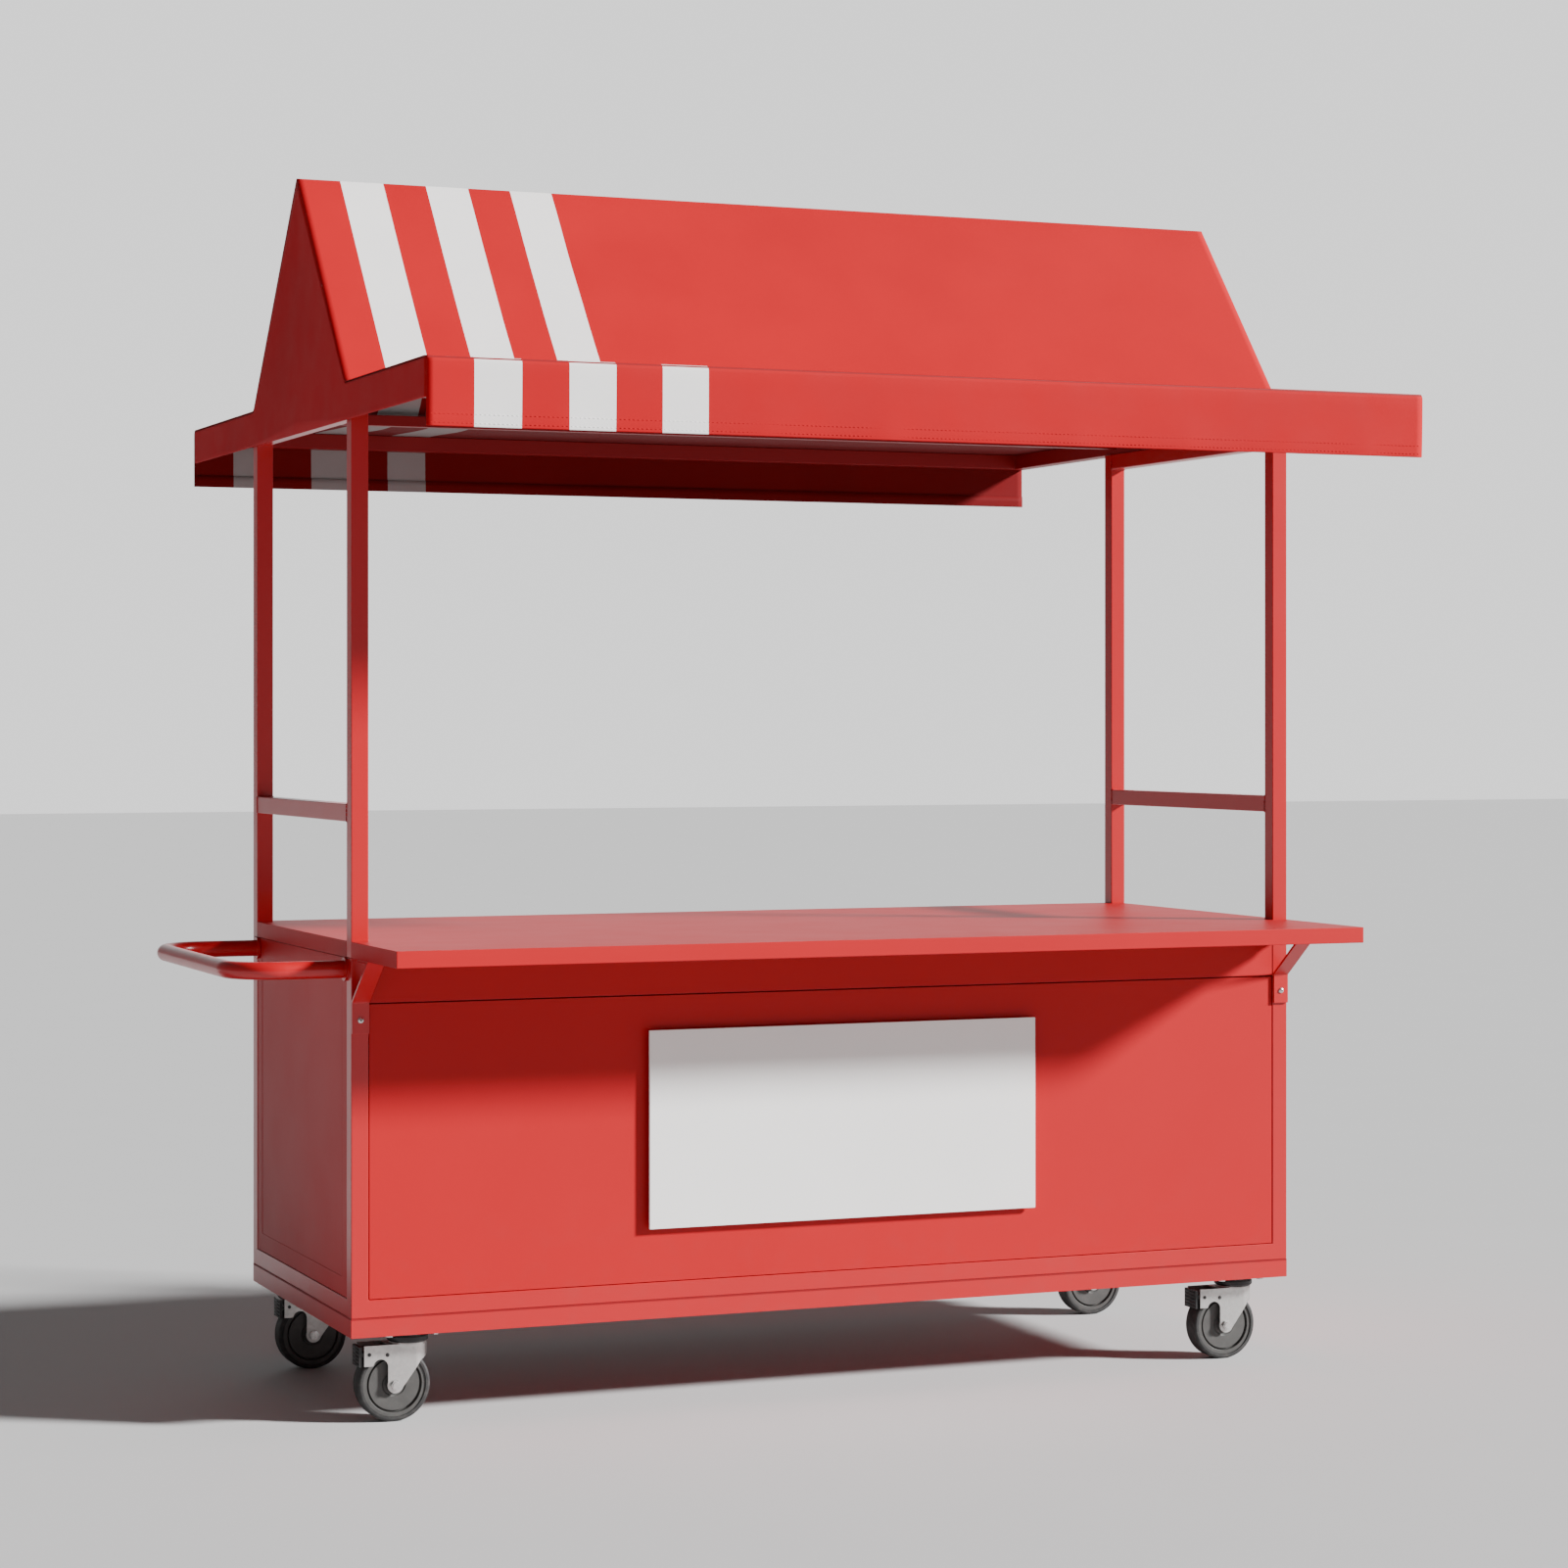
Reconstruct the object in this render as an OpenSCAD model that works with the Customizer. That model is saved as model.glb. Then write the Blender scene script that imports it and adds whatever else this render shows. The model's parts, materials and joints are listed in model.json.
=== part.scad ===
// Push vending cart: a steel cabinet on four braked swivel casters, with a front serving shelf,
// a push handle, four roof posts and a striped canopy on a tube frame.
// Millimetres, +Z up. The origin is on the floor, at the middle of the whole cart's box.
// -Y is the serving side, -X is the end with the push handle, +Y has the cabinet's two doors.

/* [Cabinet] */
// Length of the cabinet and worktop
cab_l = 1800; // [1200:10:2400]
// Depth of the cabinet and worktop
cab_d = 680; // [520:10:900]
// Height of the worktop's upper face above the floor
worktop_h = 822; // [720:1:950]
// Thickness of the worktop and of the front shelf
worktop_t = 28; // [20:1:45]
// Side of the square frame tube
tube = 30; // [25:1:40]
// Wall of every square frame tube
tube_wall = 1.5; // [1:0.1:2.5]
// Thickness of the floor sheet between the chassis and the cabinet frame
floor_t = 3; // [2:0.5:5]
// Thickness of the folded sheet used for panels, doors, shelves and worktop
sheet_t = 1.2; // [0.8:0.1:2]
// Depth of a folded side or front panel
panel_d = 12; // [8:1:18]
// How far the panels sit back from the frame's outer face
panel_set_back = 1; // [0.5:0.5:4]
// Gap all round each panel
panel_gap = 1; // [0.5:0.5:3]
// Height of the fascia strip below the worktop
fascia_h = 77; // [50:1:120]
// Width of the raised border round each end panel
side_border = 32; // [20:1:60]
// Height of the inner shelf above the cabinet's bottom rails
inner_shelf_h = 282; // [200:1:330]
// Distance of the inner shelf's back edge from the doors
inner_shelf_back = 60; // [30:5:200]

/* [Front shelf and sign] */
// Reach of the front shelf beyond the cabinet
shelf_reach = 273; // [200:1:400]
// Reach of each shelf bracket's sloping strut
bracket_run = 88; // [60:1:130]
// Drop from the shelf's lower face to the top of the bracket's pad
bracket_drop = 72; // [50:1:110]
// Height of the bracket's pad on the corner tube
pad_h = 55; // [40:1:80]
// Thickness of the bracket's flat bar
bracket_t = 5; // [3:1:8]
// Length of the bracket's flange below the shelf
bracket_flange = 50; // [30:5:58]
// Length of the sign board
sign_l = 743; // [400:1:1200]
// Height of the sign board
sign_h = 345; // [200:1:400]
// Thickness of the sign board
sign_t = 5; // [3:1:10]
// Height of the sign board's lower edge above the floor
sign_z = 312; // [260:1:340]
// Length of the spacers behind the sign board
spacer_l = 9; // [5:1:20]
// Distance of the spacers from the sign board's edges
spacer_inset = 60; // [30:5:120]

/* [Push handle] */
// Reach of the push handle beyond the cabinet's end
handle_reach = 203; // [120:1:300]
// Diameter of the handle's round tube
handle_dia = 30; // [22:1:36]
// Wall of the handle's tube
handle_wall = 2; // [1.5:0.1:3]
// Distance of each arm's centre from the cabinet's front or back face
handle_inset = 35; // [20:1:45]
// Radius of the handle's bends, at the tube's centre
handle_bend = 80; // [50:5:120]
// Drop of the handle's centre below the worktop's upper face
handle_drop = 48; // [44:1:60]
// Diameter of the welded flange at each end of the handle
flange_dia = 40; // [36:1:60]
// Thickness of the handle's flanges
flange_t = 4; // [3:1:6]

/* [Roof posts] */
// Height of the posts' upper ends above the floor
post_top = 1734; // [1500:1:1900]
// Height of the guard bars' centres above the worktop
guard_h = 216; // [120:1:400]
// Length of the spigots that hold the posts
spigot_l = 60; // [40:5:100]
// Clearance between a spigot and its post, on each side
spigot_gap = 0.5; // [0.2:0.1:1]
// Gap between a post and its notch in the worktop
notch_gap = 0.5; // [0.3:0.1:2]

/* [Canopy] */
// Depth of the canopy, front to back
canopy_d = 1598; // [1200:1:2000]
// How far the canopy stands out past each end of the cabinet
canopy_over = 6; // [4:1:60]
// Height of the canopy's ridge above its flat wings
ridge_rise = 386; // [250:1:500]
// Width of the raised middle of the canopy, front to back
gable_w = 630; // [400:5:900]
// Height of the front and back valances
valance_h = 112; // [60:1:180]
// Height of the band hanging at the handle end
left_band_h = 67; // [34:1:110]
// Height of the band at the other end
right_band_h = 32; // [20:1:110]
// Thickness of the canopy cloth with its hems
cloth_t = 2; // [1:0.5:4]
// Side of the square roof tube
roof_tube = 20; // [16:1:30]
// Diameter of the ridge tube
ridge_dia = 22; // [18:1:30]

/* [Doors] */
// Depth of a folded door
door_d = 20; // [15:1:28]
// Gap round each door
door_gap = 3; // [2:0.5:5]
// Radius of the hinge barrels
barrel_r = 7; // [6:0.5:10]
// Length of one hinge barrel
barrel_l = 30; // [20:1:45]
// Radius of the hinge pin
hinge_pin_r = 4; // [3:0.5:5]
// Length of a door handle between its two legs
pull_l = 128; // [96:1:200]
// Diameter of a door handle's rod
pull_dia = 10; // [8:1:14]
// Reach of a door handle from the door
pull_reach = 34; // [28:1:50]

/* [Casters] */
// Diameter of the wheels
wheel_dia = 127; // [100:1:160]
// Width of a wheel's tread
tread_w = 38; // [30:1:46]
// Thickness of a wheel's tread
tread_t = 8; // [6:1:12]
// Full height of a caster
caster_h = 155; // [150:1:210]
// Distance of a wheel's centre behind its swivel axis
caster_trail = 28; // [20:1:40]
// Distance of the swivel axes from the cabinet's front and back faces
caster_inset_y = 70; // [60:1:150]
// Distance of the left swivel axes from the cabinet's left end
caster_inset_left = 118; // [100:1:300]
// Distance of the right swivel axes from the cabinet's right end
caster_inset_right = 75; // [70:1:300]
// Length of a caster's top plate
plate_l = 104; // [100:1:120]
// Width of a caster's top plate
plate_w = 82; // [76:1:100]
// Thickness of a caster's top plate
plate_t = 3; // [2.5:0.5:6]
// Distance between the plate's bolts along its length
bolt_x = 80; // [70:1:84]
// Distance between the plate's bolts across its width
bolt_y = 60; // [50:1:62]
// Radius of the caster bolts
bolt_r = 4; // [3:0.5:5]
// Thickness of the fork's sheet
fork_t = 3; // [2:0.5:4]
// Radius of the wheel axle
axle_r = 6; // [5:0.5:8]
// Radius of the kingpin
kingpin_r = 6; // [5:0.5:8]

/* [Clearances] */
// Clearance of a running fit, on the radius
run_gap = 0.05; // [0.02:0.01:0.1]
// Clearance between pieces that move past each other
side_gap = 0.3; // [0.2:0.05:0.6]

/* [Hidden] */
// Colours
RED = [0.80, 0.20, 0.20];
DARK_RED = [0.62, 0.12, 0.13];
WHITE = [0.93, 0.92, 0.90];
ZINC = [0.74, 0.73, 0.71];
STEEL = [0.80, 0.81, 0.82];
BLACK = [0.07, 0.07, 0.08];
GREY = [0.42, 0.41, 0.40];
round_fn = 96;
// Extra length of a cut past the face it opens
cut = 1;

// The cabinet's own faces
x_left = handle_reach - (handle_reach + cab_l + canopy_over) / 2;
x_right = x_left + cab_l;
x_mid = (x_left + x_right) / 2;
y_front = -cab_d / 2;
y_back = cab_d / 2;

// Heights
z_chassis = caster_h;
z_floor = z_chassis + tube;
z_frame = z_floor + floor_t;
z_bay = z_frame + tube;
z_deck = worktop_h - worktop_t;
z_fascia = z_deck - fascia_h;
z_inner_shelf = z_bay + inner_shelf_h;
z_eaves = post_top + tube;
z_wing = z_eaves + cloth_t;
z_ridge = z_wing + ridge_rise;
z_pad = z_deck - bracket_drop - pad_h;

// How far up its pad a bracket's screw is, and the width of the sign's spacers
screw_level = 0.42;
spacer_dia = 16;

// Distance between the centres of the handle's two arms
handle_span = cab_d - 2 * handle_inset;

// The rails behind the panels
rail_in = panel_set_back + panel_d + 1;

// The canopy's slope, and its cloth measured straight up
slope = atan2(ridge_rise, gable_w / 2);
cloth_rise = cloth_t / cos(slope);
z_ridge_in = z_ridge - cloth_rise;
gable_in = (z_ridge_in - z_eaves) / tan(slope);
canopy_x0 = x_left - canopy_over;
canopy_x1 = x_right + canopy_over;
eaves_x0 = canopy_x0 + cloth_t;
eaves_x1 = canopy_x1 - cloth_t;
eaves_y = canopy_d / 2 - cloth_t;
rafter_x = [eaves_x0, (eaves_x0 + eaves_x1 - roof_tube) / 2, eaves_x1 - roof_tube];
// The ridge tube lies in the fold, touching both slopes from below
z_ridge_tube = z_ridge_in - ridge_dia / 2 / cos(slope);

// Doors
door_l = (cab_l - 2 * tube - 3 * door_gap) / 2;
door_h = z_deck - tube - z_bay - 2 * door_gap;
hinge_y = y_back + barrel_r + side_gap;
hinge_leaf_l = 16;
hinge_leaf_t = 4;
hinge_end = 90;
hinge_rows = [z_bay + hinge_end, z_deck - tube - hinge_end - 2 * barrel_l];
pull_level = 0.72;
pull_z = z_bay + door_h * pull_level;
pull_inset = 45;
catch_l = 40;
catch_h = 14;
catch_gap = 30;

// Casters: name of the corner, swivel axis in X and in Y
caster_xl = x_left + caster_inset_left;
caster_xr = x_right - caster_inset_right;
caster_y = cab_d / 2 - caster_inset_y;
CASTERS = [
    ["front_left", caster_xl, -caster_y],
    ["front_right", caster_xr, -caster_y],
    ["rear_left", caster_xl, caster_y],
    ["rear_right", caster_xr, caster_y]
];
wheel_r = wheel_dia / 2;
core_r = wheel_r - tread_t;
fork_in = tread_w / 2 + 3;
fork_out = fork_in + fork_t;
// The plate's cup, the fork's crown below it, and the kingpin's head below that
cup_r = 30;
cup_h = 17;
z_plate = caster_h - plate_t;
z_cup = z_plate - cup_h;
z_crown = z_cup - side_gap;
crown_t = 5;
crown_r = 32;
z_fork = z_crown - crown_t;
kingpin_head_r = 10;
kingpin_head_h = 2.5;
bolt_head_r = 7;
bolt_head_h = 5;
// The fork's rounded nose, and its ears that hold the brake pedal
nose_x = 33 - fork_out;
ear_x = -83;
ear_h = 32;
pedal_x = -74;
pedal_z = z_fork - 12;
pedal_pin_r = 3;
pedal_boss_r = 6;
pedal_h = 34;
pedal_t = 5;

POSTS = [
    ["front_left", x_left, y_front],
    ["front_right", x_right - tube, y_front],
    ["rear_left", x_left, y_back - tube],
    ["rear_right", x_right - tube, y_back - tube]
];

// ---- Shared shapes ----

// A square tube along X, from the origin
module tube_x(l, s = tube, w = tube_wall) {
    difference() {
        cube([l, s, s]);
        translate([-cut, w, w]) cube([l + 2 * cut, s - 2 * w, s - 2 * w]);
    }
}

// A square tube along X with a plate welded over each end
module capped_tube_x(l) {
    difference() {
        cube([l, tube, tube]);
        translate([tube_wall, tube_wall, tube_wall])
            cube([l - 2 * tube_wall, tube - 2 * tube_wall, tube - 2 * tube_wall]);
    }
}

// A square tube along Y, from the origin
module tube_y(l, s = tube, w = tube_wall) {
    difference() {
        cube([s, l, s]);
        translate([w, -cut, w]) cube([s - 2 * w, l + 2 * cut, s - 2 * w]);
    }
}

// A square tube along Z, from the origin
module tube_z(l, s = tube, w = tube_wall) {
    difference() {
        cube([s, s, l]);
        translate([w, w, -cut]) cube([s - 2 * w, s - 2 * w, l + 2 * cut]);
    }
}

// A folded sheet tray: its face is at z = d, and its edges turn down and then in by lip
module tray(l, w, d, lip = 15, t = sheet_t) {
    difference() {
        cube([l, w, d]);
        translate([t, t, t]) cube([l - 2 * t, w - 2 * t, d - 2 * t]);
        translate([lip, lip, -cut]) cube([l - 2 * lip, w - 2 * lip, t + 2 * cut]);
    }
}

// A tray stood up as a front panel: its face looks along -Y at y = 0
module front_tray(l, h, d, lip = 10) {
    translate([0, d, 0]) rotate([90, 0, 0]) tray(l, h, d, lip);
}

// A hexagonal head or nut along Z
module hex(r, h) {
    cylinder(r = r, h = h, $fn = 6);
}

// ---- Chassis and cabinet ----

// Where the caster bolts go up into the chassis: a hole in the tube's wall and room for the nut
module bolt_room() {
    for (c = CASTERS, sx = [-1, 1], sy = [-1, 1])
        translate([c[1] + sx * bolt_x / 2, c[2] + sy * bolt_y / 2, z_chassis]) {
            translate([0, 0, -cut])
                cylinder(r = bolt_r + run_gap, h = tube_wall + 2 * cut, $fn = round_fn);
            translate([0, 0, tube_wall]) cylinder(r = bolt_head_r + 1, h = tube / 2, $fn = round_fn);
        }
}

module chassis_frame() color(RED) difference() {
    translate([x_left, y_front, z_chassis]) {
        cross_l = cab_d - 2 * tube;
        for (y = [0, cab_d - tube]) translate([0, y, 0]) capped_tube_x(cab_l);
        for (x = [0, cab_l - tube]) translate([x, tube, 0]) tube_y(cross_l);
        // Two cross tubes over each pair of casters
        for (c = [caster_xl, caster_xr], s = [-1, 1])
            translate([c + s * bolt_x / 2 - tube / 2 - x_left, tube, 0]) tube_y(cross_l);
    }
    bolt_room();
}

module cabinet_frame() color(RED) translate([x_left, y_front, 0]) {
    bay_l = cab_l - 2 * tube;
    bay_d = cab_d - 2 * tube;
    post_h = z_deck - z_frame;
    spigot = tube - 2 * tube_wall - 2 * spigot_gap;
    far_x = cab_l - tube;
    far_y = cab_d - tube;
    // Corner uprights, each with a spigot that goes up into a roof post
    for (x = [0, far_x], y = [0, far_y]) {
        translate([x, y, z_frame]) tube_z(post_h);
        translate([x + (tube - spigot) / 2, y + (tube - spigot) / 2, z_deck - spigot_l])
            cube([spigot, spigot, 2 * spigot_l]);
        translate([x + tube_wall, y + tube_wall, z_deck - spigot_l])
            cube([tube - 2 * tube_wall, tube - 2 * tube_wall, spigot_l]);
    }
    // Bottom ring
    for (y = [0, far_y]) translate([tube, y, z_frame]) tube_x(bay_l);
    for (x = [0, far_x]) translate([x, tube, z_frame]) tube_y(bay_d);
    // Top ring, set back behind the panels at the front and the ends
    translate([tube, rail_in, z_deck - tube]) tube_x(bay_l);
    translate([tube, far_y, z_deck - tube]) tube_x(bay_l);
    for (x = [rail_in, far_x - rail_in], z = [z_deck - tube, z_inner_shelf - tube])
        translate([x, tube, z]) tube_y(bay_d);
    // Rail behind the seam between front panel and fascia
    translate([tube, rail_in, z_fascia - tube / 2]) tube_x(bay_l);
}

module floor_panel() color(DARK_RED) {
    translate([x_left, y_front, z_floor]) cube([cab_l, cab_d, floor_t]);
}

module inner_shelf() color(DARK_RED) {
    front = rail_in + 2;
    translate([x_left + tube + 2, y_front + front, z_inner_shelf])
        tray(cab_l - 2 * tube - 4, cab_d - front - inner_shelf_back - door_d, 18);
}

module front_panel() color(RED) {
    translate([x_left + tube + panel_gap, y_front + panel_set_back, z_bay + panel_gap])
        front_tray(cab_l - 2 * (tube + panel_gap), z_fascia - z_bay - 2 * panel_gap, panel_d);
}

module front_fascia() color(RED) {
    translate([x_left + tube + panel_gap, y_front + panel_set_back, z_fascia + panel_gap])
        front_tray(cab_l - 2 * (tube + panel_gap), fascia_h - 2 * panel_gap, panel_d);
}

// An end panel whose face looks along -X at x = 0, with a shallow recess inside its border
module end_panel() {
    l = cab_d - 2 * (tube + panel_gap);
    h = z_deck - z_bay - 2 * panel_gap;
    recess = 1;
    difference() {
        translate([0, l, 0]) rotate([0, 0, -90]) front_tray(l, h, panel_d);
        translate([-cut, side_border, side_border])
            cube([cut + recess / 2, l - 2 * side_border, h - 2 * side_border]);
    }
}

module left_panel() color(RED) {
    translate([x_left + panel_set_back, y_front + tube + panel_gap, z_bay + panel_gap]) end_panel();
}

module right_panel() color(RED) {
    translate([x_right - panel_set_back, y_front + tube + panel_gap, z_bay + panel_gap])
        mirror([1, 0, 0]) end_panel();
}

module worktop() color(RED) {
    notch = tube + notch_gap;
    wall = notch + sheet_t;
    translate([x_left, y_front, z_deck]) difference() {
        union() {
            tray(cab_l, cab_d, worktop_t, lip = tube);
            for (x = [0, cab_l - wall], y = [0, cab_d - wall])
                translate([x, y, 0]) cube([wall, wall, worktop_t]);
        }
        // A notch at each corner, where a roof post goes down onto its upright
        for (x = [-cut, cab_l - notch], y = [-cut, cab_d - notch])
            translate([x, y, -cut]) cube([notch + cut, notch + cut, worktop_t + 2 * cut]);
    }
}

// ---- Front shelf and sign ----

module front_shelf() color(RED) {
    translate([x_left, y_front - shelf_reach, z_deck]) tray(cab_l, shelf_reach, worktop_t, lip = tube);
}

// One bent flat bar: a pad on the corner tube, a sloping strut, and a flange back under the shelf
module shelf_bracket() {
    rise = bracket_drop - bracket_t;
    lean = atan2(rise, bracket_run);
    top = pad_h + bracket_drop;
    // The strut's lower face is a bar's thickness from its upper one
    low = pad_h - bracket_t / cos(lean);
    translate([0, 0, z_pad]) rotate([90, 0, 90]) linear_extrude(tube) polygon([
        [0, 0],
        [0, pad_h],
        [-bracket_run, top - bracket_t],
        [bracket_flange - bracket_run, top - bracket_t],
        [bracket_flange - bracket_run, top],
        [(low - top) / tan(lean), top],
        [-bracket_t, low + bracket_t * tan(lean)],
        [-bracket_t, 0]
    ]);
}

module shelf_bracket_left() color(RED) translate([x_left, y_front, 0]) shelf_bracket();

module shelf_bracket_right() color(RED) translate([x_right - tube, y_front, 0]) shelf_bracket();

// A round-headed screw that stands on a pad, one on each bracket
module bracket_screws() color(STEEL) {
    for (x = [x_left + tube / 2, x_right - tube / 2])
        translate([x, y_front - bracket_t, z_pad + pad_h * screw_level]) rotate([90, 0, 0])
            rotate_extrude($fn = round_fn) polygon([[0, 0], [5.5, 0], [5, 2], [3.5, 3.2], [0, 3.8]]);
}

module sign_board() color(WHITE) {
    translate([x_mid - sign_l / 2, y_front + panel_set_back - spacer_l - sign_t, sign_z])
        cube([sign_l, sign_t, sign_h]);
}

module sign_spacers() color(STEEL) {
    for (x = [-1, 1], z = [spacer_inset, sign_h - spacer_inset])
        translate([x_mid + x * (sign_l / 2 - spacer_inset), y_front + panel_set_back, sign_z + z])
            rotate([90, 0, 0]) cylinder(d = spacer_dia, h = spacer_l, $fn = round_fn);
}

// ---- Push handle ----

// The U of the handle as a rod of radius r, its arms ending at x = x_left
module handle_rod(r) {
    arm = handle_reach - handle_dia / 2 - handle_bend;
    bar = handle_span - 2 * handle_bend;
    x_bend = x_left - arm;
    for (s = [-1, 1]) {
        translate([x_bend, s * handle_span / 2, 0]) rotate([0, 90, 0])
            cylinder(r = r, h = arm, $fn = round_fn);
        translate([x_bend, s * bar / 2, 0]) rotate([0, 0, s > 0 ? 90 : 180])
            rotate_extrude(angle = 90, $fn = round_fn) translate([handle_bend, 0]) circle(r);
    }
    translate([x_bend - handle_bend, -bar / 2, 0]) rotate([-90, 0, 0])
        cylinder(r = r, h = bar, $fn = round_fn);
}

module push_handle() color(RED) translate([0, 0, worktop_h - handle_drop]) {
    difference() {
        union() {
            handle_rod(handle_dia / 2);
            for (s = [-1, 1]) translate([x_left, s * handle_span / 2, 0]) rotate([0, -90, 0])
                cylinder(d = flange_dia, h = flange_t, $fn = round_fn);
        }
        handle_rod(handle_dia / 2 - handle_wall);
    }
}

// ---- Roof posts ----

module post(p) color(RED) translate([p[1], p[2], z_deck]) tube_z(post_top - z_deck);

module guard_bars() color(RED) {
    for (x = [x_left, x_right - tube])
        translate([x, y_front + tube, worktop_h + guard_h - tube / 2]) tube_y(cab_d - 2 * tube);
}

module cross_beams() color(RED) {
    for (x = [x_left, x_right - tube])
        translate([x, y_front + tube, post_top - tube]) tube_y(cab_d - 2 * tube);
}

// ---- Canopy ----

module eaves_frame() color(DARK_RED) {
    l = eaves_x1 - eaves_x0;
    for (y = [-eaves_y, eaves_y - tube]) translate([eaves_x0, y, post_top]) tube_x(l);
    for (x = [eaves_x0, eaves_x1 - tube])
        translate([x, tube - eaves_y, post_top]) tube_y(2 * (eaves_y - tube));
}

module purlins() color(DARK_RED) {
    for (s = [-1, 1])
        translate([eaves_x0 + tube, s * (gable_in - roof_tube / 2) - roof_tube / 2, z_eaves - roof_tube])
            tube_x(eaves_x1 - eaves_x0 - 2 * tube, roof_tube);
}

module ridge_tube() color(DARK_RED) translate([eaves_x0, 0, z_ridge_tube]) rotate([0, 90, 0]) {
    difference() {
        cylinder(d = ridge_dia, h = eaves_x1 - eaves_x0, $fn = round_fn);
        translate([0, 0, -cut])
            cylinder(d = ridge_dia - 2 * tube_wall, h = eaves_x1 - eaves_x0 + 2 * cut, $fn = round_fn);
    }
}

// Three pairs of rafters, cut level on the eaves and coped against the sides of the ridge tube
module rafters() color(DARK_RED) {
    run = gable_in / cos(slope);
    end_y = -ridge_dia / 2 * sin(slope) - 1;
    for (x = rafter_x, s = [0, 1]) mirror([0, s, 0]) difference() {
        translate([x, -gable_in, z_eaves]) rotate([slope, 0, 0])
            translate([0, 0, -roof_tube]) tube_y(run, roof_tube);
        translate([x - cut, -gable_in - cut, z_eaves - 2 * roof_tube])
            cube([roof_tube + 2 * cut, gable_in, 2 * roof_tube]);
        translate([x - cut, 0, z_ridge_tube]) rotate([0, 90, 0])
            cylinder(d = ridge_dia, h = roof_tube + 2 * cut, $fn = round_fn);
        translate([x - cut, end_y, 0]) cube([roof_tube + 2 * cut, 2 * roof_tube, z_ridge]);
    }
}

// The cover is one sheet: front valance, wing, two slopes, wing, back valance
module canopy_cover() color(RED) {
    y = canopy_d / 2;
    yi = y - cloth_t;
    g = gable_w / 2;
    z0 = z_wing - valance_h;
    translate([canopy_x0, 0, 0]) rotate([90, 0, 90]) linear_extrude(canopy_x1 - canopy_x0) polygon([
        [-y, z0], [-y, z_wing], [-g, z_wing], [0, z_ridge], [g, z_wing], [y, z_wing], [y, z0],
        [yi, z0], [yi, z_eaves], [gable_in, z_eaves], [0, z_ridge_in], [-gable_in, z_eaves],
        [-yi, z_eaves], [-yi, z0]
    ]);
}

// The cloth at one end: a triangle below the slopes, and a band over the eaves rail
module gable(band) color(DARK_RED) rotate([90, 0, 90]) linear_extrude(cloth_t) polygon([
    [-eaves_y, z_wing - band], [-eaves_y, z_eaves], [-gable_in, z_eaves], [0, z_ridge_in],
    [gable_in, z_eaves], [eaves_y, z_eaves], [eaves_y, z_wing - band]
]);

module gable_left() translate([canopy_x0, 0, 0]) gable(left_band_h);

module gable_right() translate([canopy_x1 - cloth_t, 0, 0]) gable(right_band_h);

// ---- Doors: drawn for the left door, and mirrored for the right ----

module at_left_hinge() {
    translate([x_left + tube + door_gap / 2, hinge_y, 0]) children();
}

module mirrored() {
    translate([x_mid, 0, 0]) mirror([1, 0, 0]) translate([-x_mid, 0, 0]) children();
}

module left_door() color(RED) {
    translate([x_left + tube + door_gap + door_l, y_back, z_bay + door_gap]) rotate([0, 0, 180])
        front_tray(door_l, door_h, door_d, 15);
}

module left_pull() color(BLACK) {
    r = pull_dia / 2;
    x = x_left + tube + door_gap + door_l - pull_inset;
    translate([x, y_back, pull_z]) {
        for (s = [-1, 1]) translate([0, 0, s * pull_l / 2]) rotate([-90, 0, 0])
            cylinder(r = r, h = pull_reach - r, $fn = round_fn);
        translate([0, pull_reach - r, -pull_l / 2]) cylinder(r = r, h = pull_l, $fn = round_fn);
        for (s = [-1, 1]) translate([0, pull_reach - r, s * pull_l / 2]) sphere(r = r, $fn = round_fn);
    }
}

// The fixed half of one hinge: barrel, weld leaf and upstanding pin
module hinge_lower() {
    cylinder(r = barrel_r, h = barrel_l, $fn = round_fn);
    cylinder(r = hinge_pin_r, h = 2 * barrel_l - 2, $fn = round_fn);
    translate([-hinge_leaf_l, y_back - hinge_y, 0]) cube([hinge_leaf_l, hinge_leaf_t, barrel_l]);
}

// The moving half: a barrel bored for the pin, with its weld leaf
module hinge_upper() {
    translate([0, 0, barrel_l + side_gap]) difference() {
        union() {
            cylinder(r = barrel_r, h = barrel_l, $fn = round_fn);
            translate([0, y_back - hinge_y, 0]) cube([hinge_leaf_l, hinge_leaf_t, barrel_l]);
        }
        translate([0, 0, -cut])
            cylinder(r = hinge_pin_r + run_gap, h = barrel_l + 2 * cut, $fn = round_fn);
    }
}

module left_uppers() color(RED) at_left_hinge() {
    for (z = hinge_rows) translate([0, 0, z]) hinge_upper();
}

module left_lowers() at_left_hinge() {
    for (z = hinge_rows) translate([0, 0, z]) hinge_lower();
}

module hinge_lowers() color(RED) {
    left_lowers();
    mirrored() left_lowers();
}

// Magnet blocks under the top rail, one behind each door's free corner
module door_catches() color(WHITE) {
    depth = tube - door_d - side_gap;
    for (s = [-1, 1])
        translate([x_mid + s * (catch_l + catch_gap) / 2 - catch_l / 2, y_back - tube, 0])
            translate([0, 0, z_deck - tube - catch_h]) cube([catch_l, depth, catch_h]);
}

// ---- Casters: each is drawn about its swivel axis, with the wheel trailing towards -X ----

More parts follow.
